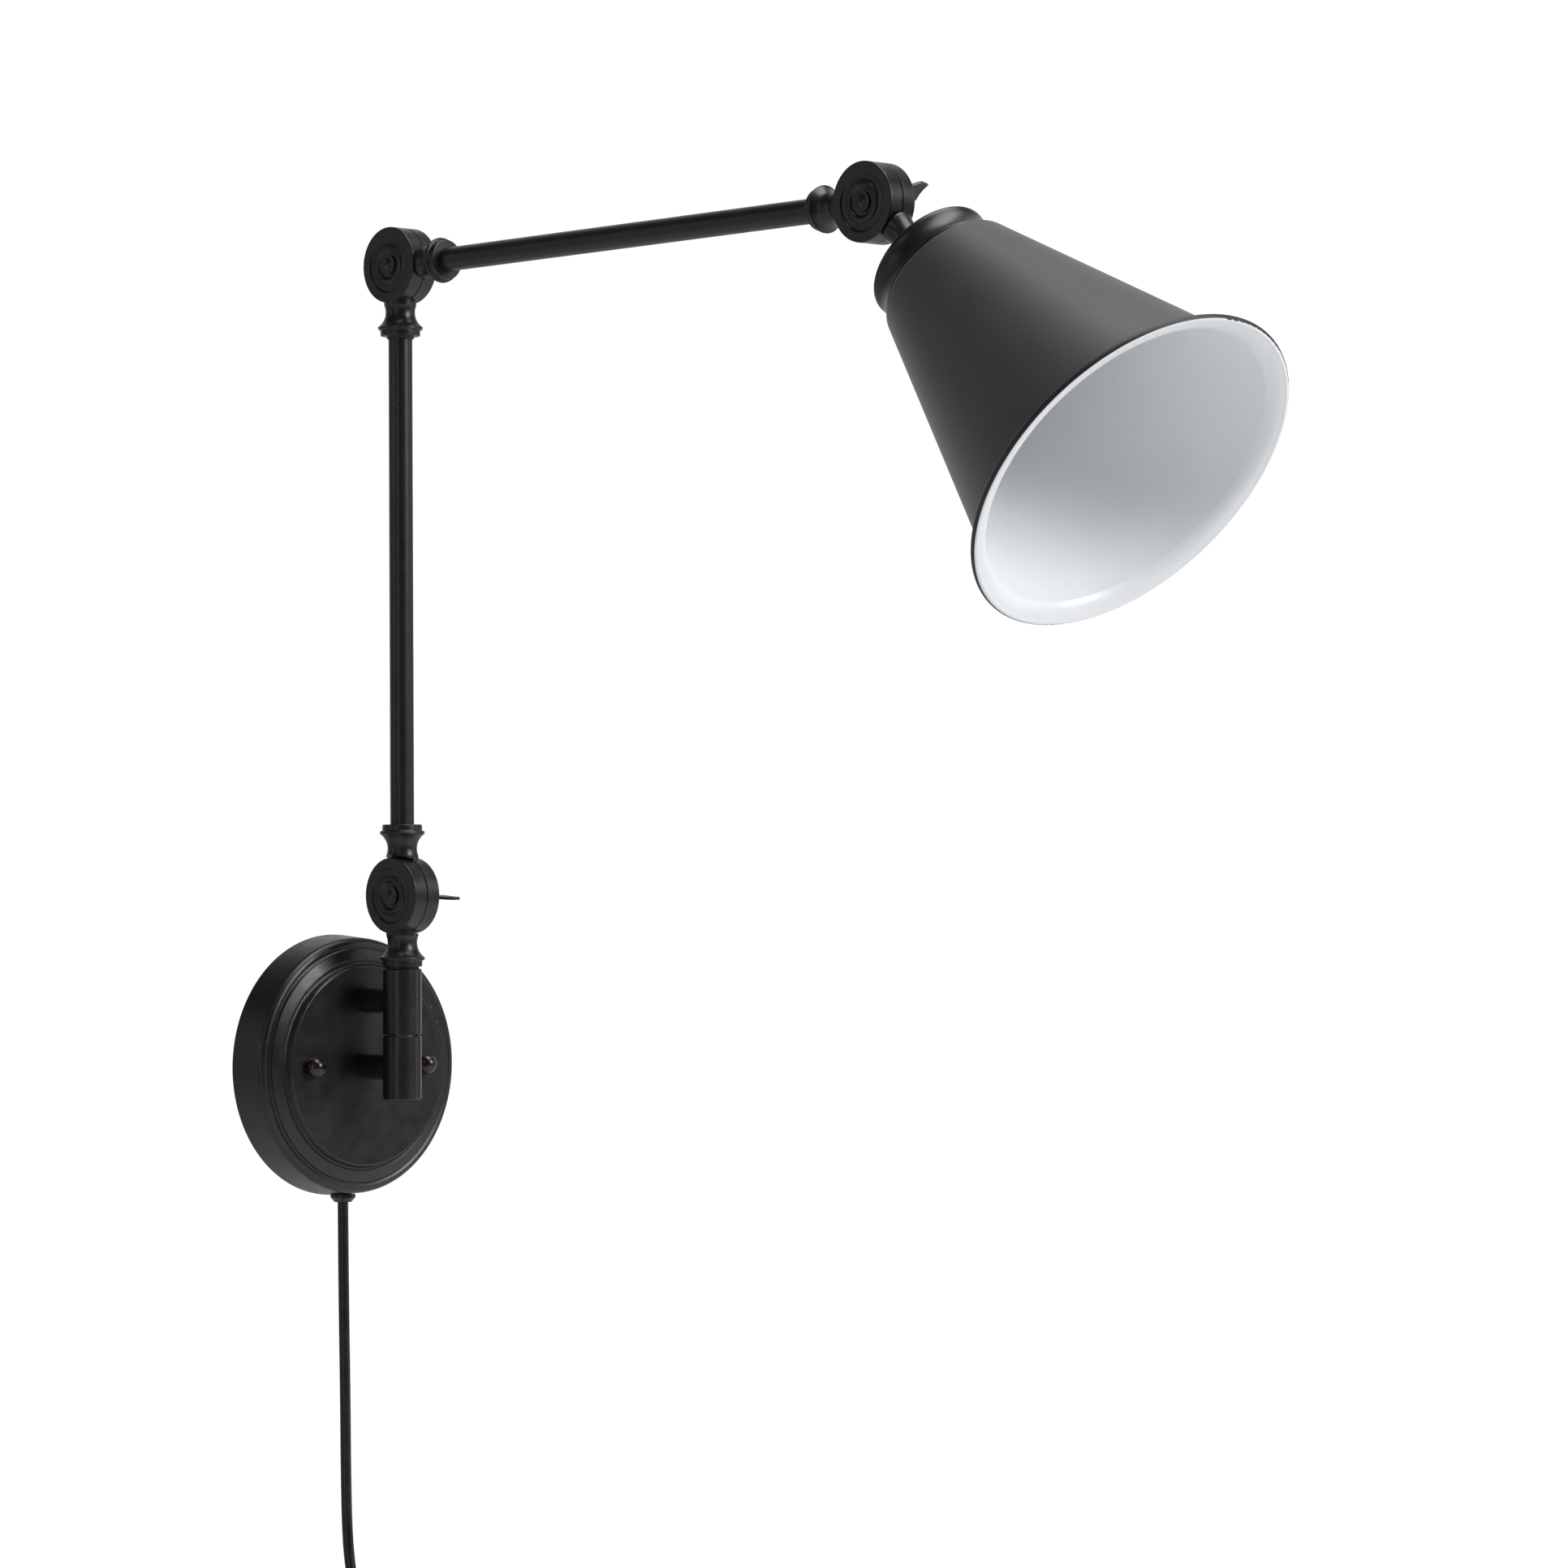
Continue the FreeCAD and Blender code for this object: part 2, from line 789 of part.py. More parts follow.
def shade():
    """The spun metal shade: collar, rounded shoulder, straight cone, flared mouth with a rolled edge."""
    piece = body("shade")
    metal = cell("shade_sheet")
    collar = cell("collar_radius")
    shoulder = cell("shoulder_start")
    edge = cell("shoulder_radius")
    cone = cell("cone_start")
    cone_radius = cell("cone_start_radius")
    end = cell("cone_end")
    end_radius = cell("cone_end_radius")
    rim = cell("rim_radius")
    mouth = cell("mouth")
    flange = cell("socket_radius") + 0.2
    turned(
        piece,
        [
            (flange, shoulder - 5.0),
            (collar - 1.0, shoulder - 5.0, 1.0),
            (collar, shoulder - 4.0),
            (collar, shoulder - 0.9),
            (edge - 0.6, shoulder - 0.9, 1.0),
            (edge, shoulder, 3.0),
            (cone_radius, cone),
            (end_radius, end, -9.0),
            (rim - 3.2, mouth - 3.0, -0.8),
            (rim - 2.6, mouth - 3.1, 1.7),
            (rim, mouth - 1.4, 1.75),
            (rim - 1.9, mouth),
            (rim - 3.4, mouth - 0.5, 9.0),
            (end_radius - metal * 1.05, end + metal * 0.3),
            (cone_radius - metal * 1.05, cone + metal * 0.3, -2.2),
            (edge - metal, shoulder - 0.1),
            (collar - metal, shoulder - 0.1),
            (collar - metal, shoulder - 5.0 + metal),
            (flange, shoulder - 5.0 + metal),
        ],
    )
    return piece


def socket_body():
    """The moulded lampholder: shoulder above the shade's flange, sleeve around the screw shell."""
    piece = body("socket_body")
    radius = cell("socket_radius")
    seat = cell("shoulder_start") - 5.0
    end = cell("socket_end")
    well = cell("shell_radius") + 1.2
    nipple = cell("nipple_radius")
    turned(
        piece,
        [
            (3.7, seat - 1.8),
            (3.7, 71.0),
            (well, 71.0),
            (well, end),
            (radius - 2.0, end),
            (radius - 1.2, end - 0.8),
            (radius - 1.2, seat + 9.0),
            (radius, seat + 9.0),
            (radius, seat),
            (23.0, seat),
            (23.0, seat - 2.4),
            (21.5, seat - 3.6),
            (nipple + 3.4, seat - 3.6),
            (nipple + 3.4, seat - 1.8),
        ],
    )
    return piece


def screw_shell():
    """The threaded metal shell that a medium-base bulb screws into, with rounded threads."""
    inside = mm("shell_radius")
    outside = inside + 0.45
    low = 71.4
    pitch = 3.6
    crest = 2.0
    # the bottom narrows, so that the round wall starts above the centre contact
    wall = low + 4.6
    turns = [wall + 0.4 + number * pitch for number in range(5)]
    top = turns[-1] + pitch + 1.0
    corners = [(6.0, low, 0), (outside - 3.0, low, 0), (outside, wall, 0)]
    for start in turns:
        corners += [(outside, start, crest), (outside, start + 3.0, 0)]
    corners += [(outside, top, 0), (inside, top, 0)]
    for start in reversed(turns):
        corners += [(inside, start + 3.0, -crest), (inside, start, 0)]
    corners += [(inside, wall, 0), (inside - 3.0, low + 0.5, 0), (6.0, low + 0.5, 0)]
    spots = [Vector(radius, height, 0) for radius, height, _ in corners]
    pairs = zip(spots, spots[1:] + spots[:1], corners)
    edges = [edge_between(start, end, corner[2]).toShape() for start, end, corner in pairs]
    face = Part.Face(Part.Wire(edges))
    face.rotate(Vector(), X_AXIS, 90)
    return shape_part("socket_screw_shell", face.revolve(Vector(), Z_AXIS, 360))


def centre_contact():
    """The sprung brass tongue at the bottom of the socket: a foot, a bend, and a sloping tip."""
    piece = body("socket_centre_contact")

    def strip(sketch):
        corners = [(-4.6, 71.0), (3.6, 71.0), (4.4, 71.8), (4.0, 73.0), (-2.0, 75.4), (-3.6, 75.0)]
        corners += [(-3.6, 74.5), (-2.0, 74.8), (3.3, 72.7), (3.5, 72.0), (3.2, 71.6), (-4.6, 71.6)]
        outline(sketch, corners)

    extrude(piece, "Pad", "XZ_Plane", strip, 5.0, both=True)
    return piece


def head_parts():
    """Everything that turns with the shade, built along the shade's axis."""
    seat = mm("shoulder_start") - 5.0
    parts = [shade_cap(), shade(), socket_body(), screw_shell(), centre_contact()]
    below = cell("shoulder_start") - 5.0 + cell("shade_sheet")
    parts.append(ring("shade_ring", cell("socket_radius"), 24.5, below, below + 5.5, bevel=0.8))
    nut = body("nipple_nut")
    hexagon_nut(nut, 7.0, cell("nipple_radius"), cell("cap_top") + cell("cap_sheet"), 3.4)
    parts.append(nut)
    for piece in parts:
        place(piece, HEAD_KNUCKLE, heading(SHADE_ANGLE))
    assert seat > mm("cap_top") + mm("cap_sheet") + 3.4 + 3.6, "the lampholder would touch the nipple nut"


# ---- mains cord ---------------------------------------------------------------------------------------
def rounded_path(points):
    """Straight runs joined by arcs that touch both, each as large as its runs allow; and their radii."""
    edges = []
    radii = []
    start = points[0]
    for before, corner, after in zip(points, points[1:], points[2:]):
        first = before - corner
        second = after - corner
        half_turn = (math.pi - first.getAngle(second)) / 2
        cut = 0.45 * min(first.Length, second.Length)
        radii.append(cut / math.tan(half_turn))
        way_in = corner + first.normalize() * cut
        way_out = corner + second.normalize() * cut
        towards = ((way_in + way_out) / 2 - corner).normalize()
        depth = radii[-1] * (1 / math.cos(half_turn) - 1)
        edges.append(Part.LineSegment(start, way_in).toShape())
        edges.append(Part.Arc(way_in, corner + towards * depth, way_out).toShape())
        start = way_out
    edges.append(Part.LineSegment(start, points[-1]).toShape())
    return Part.Wire(edges), radii


def swept(path, start, way, radius):
    """A round bar along the path, which sets out from start this way."""
    section = Part.Wire([Part.Circle(start, way, radius).toShape()])
    solid = path.makePipeShell([section], True, False, 2)
    if solid.Volume < 0:
        solid.reverse()
    return solid


def wire_along(points, radius):
    """A thin insulated wire along the points."""
    return swept(rounded_path(points)[0], points[0], points[1] - points[0], radius)


def cord_along(label, points):
    """The mains cord along the points, as one solid."""
    radius = mm("cord_radius")
    path, radii = rounded_path(points)
    solid = swept(path, points[0], points[1] - points[0], radius)
    wanted = math.pi * radius**2 * path.Length
    print(f"{label}: length {path.Length:.1f}, radii {[round(r) for r in radii]}, "
          f"volume {solid.Volume / wanted:.4f} of section times length")
    assert abs(solid.Volume / wanted - 1) < 0.01, f"{label} isn't a clean tube"
    return shape_part(label, solid)


# From the gland's mouth, down under its own weight, then forward and round into the coil's outer turn.
CORD_DROP = [
    Vector(0.0, -8.0, -69.3),
    Vector(0.5, -8.1, -117.0),
    Vector(1.8, -7.9, -166.0),
    Vector(2.1, -8.1, -206.0),
    Vector(2.1, -9.1, -236.0),
    Vector(2.2, -11.6, -255.0),
    Vector(2.3, -15.3, -267.7),
    Vector(5.9, -19.6, -278.1),
    Vector(12.9, -22.3, -286.7),
    Vector(22.2, -22.5, -292.8),
]
# Off the coil's inner front turn, forward over its face and down into the plug.
CORD_END = [
    Vector(-13.5, -22.5, -293.7),
    Vector(-1.1, -24.0, -289.1),
    Vector(12.1, -27.6, -290.0),
    Vector(23.7, -31.0, -296.2),
    Vector(31.8, -33.0, -306.6),
    Vector(35.0, -33.6, -319.4),
    Vector(35.2, -33.8, -330.0),
]
PLUG_TOP = CORD_END[-1]


def cord_gland():
    """The bushing in the canopy's edge that the cord leaves through."""
    piece = body("cord_gland")
    radius = cell("gland_radius")
    low = cell("gland_low")
    hole = cell("cord_radius")
    turned(
        piece,
        [
            (hole, -low),
            (hole + 1.6, -low),
            (radius - 1.0, -68.0),
            (radius, -67.0),
            (radius, -65.3),
            (4.0, -65.3),
            (4.0, -63.6),
            (6.0, -63.6),
            (6.0, -61.6),
            (hole, -61.6),
        ],
    )
    place(piece, Vector(0, -mm("cord_out"), 0))


def cord_coil():
    """The outer shape of the spare cord, wound in eight turns."""
    inside, outside, back, front = (cell(f"coil_{side}") for side in ("inside", "outside", "back", "front"))
    piece = ring("cord_coil", inside, outside, back, front, bevel=1.2)
    place(piece, Vector(0, 0, mm("coil_middle_z")), along_y())


def cord_tie():
    """A hook-and-loop strap round all the turns, at the coil's left."""
    piece = body("cord_tie")
    inside = cell("coil_inside")
    outside = cell("coil_outside")
    back = cell("coil_back")
    front = cell("coil_front")

    # the turns curve inwards across the strap's width, so it stands this much clear of their inside
    inside = inside - 0.5

    def frame(sketch):
        for thick in (1.0, 0.0):
            left = -outside - thick
            right = -inside + thick
            low = back - thick
            high = front + thick
            outline(sketch, [(left, low), (right, low), (right, high), (left, high)])

    extrude(piece, "Pad", "XZ_Plane", frame, 9.0, both=True)
    place(piece, Vector(0, 0, mm("coil_middle_z")), along_y())


def plug():
    """A moulded two-pin plug hanging blades down, its strain relief above."""
    piece = body("plug_body")
    bore = cell("cord_radius") + 0.2
    turned(
        piece,
        [
            (bore, 0.0),
            (bore + 0.6, 0.0),
            (4.6, -14.0),
            (6.2, -16.0),
            (6.2, -20.0),
            (0.0, -20.0),
            (0.0, -9.0),
            (bore, -9.0),
        ],
    )

    def grip(sketch):
        outline(
            sketch,
            [
                (-9.0, -6.2, 0),
                (9.0, -6.2, 9.5),
                (9.0, 6.2, 0),
                (-9.0, 6.2, 9.5),
            ],
        )

    extrude(piece, "Pad", "XY_Plane", grip, 22.0, offset=-38.0)
    place(piece, PLUG_TOP + Vector(0, 0, 9))


def blade(piece):
    """One flat blade of the plug, its tip bevelled, with the usual hole."""
    side = 3.2
    root = -38.0
    tip = -56.0

    def face(sketch):
        corners = [(-side, tip + 1.5), (-side + 1.4, tip), (side - 1.4, tip), (side, tip + 1.5)]
        outline(sketch, corners + [(side, root), (-side, root)])
        circle(sketch, 0.0, tip + 4.5, 1.6)

    extrude(piece, "Pad", "YZ_Plane", face, 1.5, both=True)


# ---- wiring in the canopy -----------------------------------------------------------------------------
def wire_nut(piece):
    """A twist-on wire connector, a ribbed cone."""
    turned(
        piece,
        [
            (2.9, 0.0),
            (5.4, 0.0),
            (5.4, 4.0),
            (4.6, 4.6),
            (3.6, 16.0, 2.4),
            (2.0, 18.0),
            (0.0, 18.0),
            (0.0, 14.0),
            (2.9, 14.0),
        ],
    )


def canopy_wiring():
    """The cord's tail, its two cores, the connectors, and the leads into the lower standoff."""
    radius = mm("lead_radius")
    out = -mm("cord_out")
    tail = [Vector(0, out, -mm("gland_low")), Vector(0, out, -44.0)]
    shape_part("cord_tail", Part.makeCylinder(mm("cord_radius"), tail[1].z - tail[0].z, tail[0]))
    cores = []
    lamp_leads = []
    for side in (-1, 1):
        core_start = Vector(side * 1.3, out, -44.0)
        connector = Vector(side * 17.0, out, -22.0)
        core = [core_start, core_start + Vector(0, 0, 6), connector + Vector(0, 0, -9)]
        core.append(connector + Vector(-side * 1.3, 0, 3))
        lead = [connector + Vector(side * 1.3, 0, 3), connector + Vector(side * 2.0, 0, -8)]
        lead += [Vector(side * 30.0, out, -20.0), Vector(side * 24.0, out + 1, 2.0)]
        lead += [Vector(side * 8.0, out + 1.5, 0.6), Vector(side * 1.3, out - 1.5, 0)]
        lead.append(Vector(side * 1.3, -mm("barrel_out") + 6.3, 0))
        cores.append(wire_along(core, radius))
        lamp_leads.append(wire_along(lead, radius))
    shape_part("cord_cores", Part.makeCompound(cores))
    shape_part("lamp_leads", Part.makeCompound(lamp_leads))
    spots = [Vector(side * 17.0, out, -22.0) for side in (-1, 1)]
    pair("wire_connectors", wire_nut, spots, Rotation())


# ---- the whole lamp -----------------------------------------------------------------------------------
def base():
    canopy()
    crossbar()
    pair("mounting_studs", stud, STUD_SPOTS, along_y())
    pair("stud_lock_nuts", stud_nut, STUD_SPOTS, along_y())
    pair("ball_nuts", ball_nut, STUD_SPOTS, along_y())
    standoff("standoff_lower", 0.0, cell("pocket_radius"), bored=True)
    standoff("standoff_upper", mm("standoff_high"), cell("barrel_radius") - 3.0, bored=False)
    pair("standoff_nuts", standoff_nut, STANDOFF_SPOTS, along_y())
    low = cell("barrel_low")
    split = cell("barrel_split")
    gap = cell("split_gap") * 0.5
    barrel_half("barrel_lower", low, split - gap, True, 0.0)
    barrel_half("barrel_upper", split + gap, cell("barrel_high"), False, cell("standoff_high"))
    place(ring("barrel_plug", 0.0, cell("pocket_radius"), low, low + cell("plug_thickness")), BARREL)


def swivel():
    """The stem that turns in the barrel, what keeps it there, and the washer it turns on."""
    bore = cell("stem_radius") + cell("run_gap")
    high = cell("barrel_high")
    place(ring("swivel_washer", bore, 8.4, high, high + 1.0, bevel=0.2), BARREL)
    stem_top = cell("low_knuckle_high") - cell("tube_stop")
    place(ring("swivel_stem", cell("stem_bore"), cell("stem_radius"), 1.0, stem_top), BARREL)
    pocket = cell("pocket_high")
    place(ring("stem_washer", cell("stem_radius"), 7.2, pocket - 1.05, pocket - 0.05), BARREL)
    nut = body("stem_nut")
    hexagon_nut(nut, 6.2, cell("stem_radius"), pocket - 5.5, 4.4)
    place(nut, BARREL)


def knuckles():
    tube = cell("tube_radius")
    collar = neck_corners(tube)
    stem_collar = neck_corners(cell("stem_radius"))
    back_down = LOWER_ARM_ANGLE - 180
    back_along = UPPER_ARM_ANGLE + 180
    knuckle(
        "low",
        LOW_KNUCKLE,
        ("swivel_knuckle", stem_collar, -90),
        ("lower_arm_bottom_knuckle", collar, LOWER_ARM_ANGLE),
        -90,
        -6,
    )
    knuckle(
        "elbow",
        ELBOW,
        ("lower_arm_top_knuckle", neck_corners(tube, lip=1.3), back_down),
        ("upper_arm_inner_knuckle", collar, UPPER_ARM_ANGLE),
        back_down,
        UPPER_ARM_ANGLE,
    )
    knuckle(
        "head",
        HEAD_KNUCKLE,
        ("upper_arm_outer_knuckle", collar, back_along),
        ("head_knuckle", stub_corners(), SHADE_ANGLE),
        back_along,
        45,
    )


def arms():
    lower = cell("lower_arm_length")
    upper = cell("upper_arm_length")
    arm_tube("lower_arm_tube", lower, LOW_KNUCKLE, LOWER_ARM_ANGLE)
    arm_tube("upper_arm_tube", upper, ELBOW, UPPER_ARM_ANGLE)
    leads("swivel_leads", 24.0, 72.0, LOW_KNUCKLE, -90)
    leads("lower_arm_leads", 24.0, lower - 24.0, LOW_KNUCKLE, LOWER_ARM_ANGLE)
    leads("upper_arm_leads", 24.0, upper - 24.0, ELBOW, UPPER_ARM_ANGLE)
    leads("head_leads", 26.0, 70.5, HEAD_KNUCKLE, SHADE_ANGLE)


def cord():
    cord_gland()
    cord_along("cord", CORD_DROP)
    cord_coil()
    cord_tie()
    cord_along("cord_end", CORD_END)
    plug()
    spots = [PLUG_TOP + Vector(side * 6.35, 0, 9) for side in (-1, 1)]
    pair("plug_blades", blade, spots, Rotation())


base()
swivel()
knuckles()
arms()
head_parts()
canopy_wiring()
cord()
doc.recompute()

for item in doc.Objects:
    failed = {"Invalid", "Error"} & set(item.State)
    assert not failed, f"{item.Label} failed: {item.getStatusString()}"
os.makedirs("parts", exist_ok=True)
for piece in sub_parts:
    shape = piece.Shape
    assert not shape.isNull() and shape.isValid() and shape.Volume > 0, f"{piece.Label} has no valid shape"
    shape.exportStep(f"parts/{piece.Label}.step")
print(len(sub_parts), "sub-parts;", "knuckles at", LOW_KNUCKLE, ELBOW, HEAD_KNUCKLE)
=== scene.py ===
"""The looks of a plug-in swing arm wall sconce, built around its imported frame."""

import json
import math

import bmesh
import bpy
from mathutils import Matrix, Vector


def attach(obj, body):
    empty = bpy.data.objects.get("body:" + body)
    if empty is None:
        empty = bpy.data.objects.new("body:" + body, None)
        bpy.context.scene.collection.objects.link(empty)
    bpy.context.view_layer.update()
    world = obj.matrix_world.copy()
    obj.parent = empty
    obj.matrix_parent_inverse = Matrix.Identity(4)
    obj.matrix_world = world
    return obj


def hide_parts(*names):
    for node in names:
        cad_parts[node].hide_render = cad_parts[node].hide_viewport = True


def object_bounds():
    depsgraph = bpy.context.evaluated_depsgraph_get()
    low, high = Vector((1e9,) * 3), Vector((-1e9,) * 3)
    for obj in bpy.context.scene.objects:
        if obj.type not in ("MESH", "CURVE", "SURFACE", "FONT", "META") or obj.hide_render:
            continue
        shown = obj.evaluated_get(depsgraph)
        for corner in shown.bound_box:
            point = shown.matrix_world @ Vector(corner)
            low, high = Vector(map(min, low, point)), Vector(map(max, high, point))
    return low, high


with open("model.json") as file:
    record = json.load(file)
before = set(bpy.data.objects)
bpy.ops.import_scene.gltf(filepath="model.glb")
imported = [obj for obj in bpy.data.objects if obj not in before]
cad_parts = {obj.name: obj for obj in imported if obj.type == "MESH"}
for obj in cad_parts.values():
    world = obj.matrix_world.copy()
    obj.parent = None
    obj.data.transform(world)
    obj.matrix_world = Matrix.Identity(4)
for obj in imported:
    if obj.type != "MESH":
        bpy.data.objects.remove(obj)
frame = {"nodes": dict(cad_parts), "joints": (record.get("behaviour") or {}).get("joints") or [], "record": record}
CAD_BOX = [list(corner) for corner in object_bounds()]

NODES = frame["nodes"]
JOINTS = {joint["name"]: joint for joint in frame["joints"]}
HEAD = Vector(JOINTS["head_tilt"]["pos_m"])
SHADE_DROOP = 39.6
MM = 0.001

# ---------------------------------------------------------------- camera

VIEW_AZIMUTH = math.radians(-45.0)
VIEW_ELEVATION = math.radians(-0.783)
VIEW_DISTANCE = 2.9914
VIEW_AIM = Vector((0.0875, -0.2363, 0.1409))
LENS = 140.05


def make_camera():
    """A long lens at 45 degrees to the wall, a little below the middle of the lamp."""
    level = math.cos(VIEW_ELEVATION)
    back = Vector((math.sin(VIEW_AZIMUTH) * level, -math.cos(VIEW_AZIMUTH) * level, math.sin(VIEW_ELEVATION)))
    data = bpy.data.cameras.new("camera")
    data.sensor_width = 36.0
    data.lens = LENS
    data.clip_end = 50.0
    camera = bpy.data.objects.new("camera", data)
    bpy.context.scene.collection.objects.link(camera)
    camera.location = VIEW_AIM + back * VIEW_DISTANCE
    camera.rotation_euler = (-back).to_track_quat("-Z", "Y").to_euler()
    bpy.context.scene.camera = camera


# ---------------------------------------------------------------- light and floor

FLOOR_DROP = 0.25


def softbox(name, place, aim, width, height, power):
    """A large soft rectangular light."""
    data = bpy.data.lights.new(name, "AREA")
    data.shape = "RECTANGLE"
    data.size = width
    data.size_y = height
    data.energy = power
    light = bpy.data.objects.new(name, data)
    bpy.context.scene.collection.objects.link(light)
    light.location = place
    light.rotation_euler = (Vector(aim) - Vector(place)).to_track_quat("-Z", "Y").to_euler()
    return light


def make_lights():
    """Studio light: a key to the right, strips at both sides, a panel and a small lamp behind left, a top."""
    middle = (0.0, -0.25, 0.2)
    softbox("key", (1.0, -2.7, 1.5), middle, 1.2, 1.4, 58.0)
    softbox("right_strip", (2.3, -1.5, 0.3), middle, 0.45, 2.4, 7.0)
    softbox("left_strip", (-2.5, -0.75, 0.5), middle, 0.35, 2.2, 4.5)
    softbox("left_panel", (-2.4, 1.9, 0.5), middle, 2.2, 2.4, 5.0)
    softbox("top", (0.3, -0.7, 2.4), middle, 1.6, 1.6, 42.0)
    softbox("low", (0.6, -1.6, -1.3), middle, 1.6, 0.8, 6.0)
    softbox("left_spark", (-2.6, 0.9, 0.6), middle, 0.3, 0.3, 1.5)


# The level direction of the bright backdrop, how near to it the light starts and is full, and both strengths.
BACKDROP_WAY = (0.64, 0.77, 0.0)
BACKDROP_START = 0.55
BACKDROP_FULL = 0.85
ROOM_STRENGTH = 0.07
BACKDROP_STRENGTH = 0.8


def make_world():
    """A white surround that the camera sees; the lamp feels a dim room with a bright backdrop behind it."""
    world = bpy.data.worlds.new("studio")
    bpy.context.scene.world = world
    world.use_nodes = True
    tree = world.node_tree
    tree.nodes.clear()
    seen = tree.nodes.new("ShaderNodeBackground")
    seen.inputs["Color"].default_value = (1.0, 1.0, 1.0, 1.0)
    seen.inputs["Strength"].default_value = 1.05
    felt = tree.nodes.new("ShaderNodeBackground")
    felt.inputs["Color"].default_value = (0.96, 0.98, 1.0, 1.0)
    ways = tree.nodes.new("ShaderNodeTexCoord")
    toward = tree.nodes.new("ShaderNodeVectorMath")
    toward.operation = "DOT_PRODUCT"
    toward.inputs[1].default_value = BACKDROP_WAY
    tree.links.new(ways.outputs["Generated"], toward.inputs[0])
    backdrop = tree.nodes.new("ShaderNodeMapRange")
    backdrop.inputs["From Min"].default_value = BACKDROP_START
    backdrop.inputs["From Max"].default_value = BACKDROP_FULL
    backdrop.inputs["To Min"].default_value = ROOM_STRENGTH
    backdrop.inputs["To Max"].default_value = BACKDROP_STRENGTH
    tree.links.new(toward.outputs["Value"], backdrop.inputs["Value"])
    tree.links.new(backdrop.outputs["Result"], felt.inputs["Strength"])
    rays = tree.nodes.new("ShaderNodeLightPath")
    mix = tree.nodes.new("ShaderNodeMixShader")
    out = tree.nodes.new("ShaderNodeOutputWorld")
    tree.links.new(rays.outputs["Is Camera Ray"], mix.inputs[0])
    tree.links.new(felt.outputs[0], mix.inputs[1])
    tree.links.new(seen.outputs[0], mix.inputs[2])
    tree.links.new(mix.outputs[0], out.inputs["Surface"])


def make_floor():
    """A round pale floor below the lamp."""
    bpy.ops.mesh.primitive_circle_add(vertices=128, radius=3.0, fill_type="NGON")
    floor = bpy.context.object
    floor.name = "floor"
    floor.location = (0.0, 0.0, CAD_BOX[0][2] - FLOOR_DROP)
    floor.data.materials.append(painted("floor_paint", (0.86, 0.86, 0.86), (0.9, 0.9, 0.9), roughness=0.85))


# ---------------------------------------------------------------- material nodes


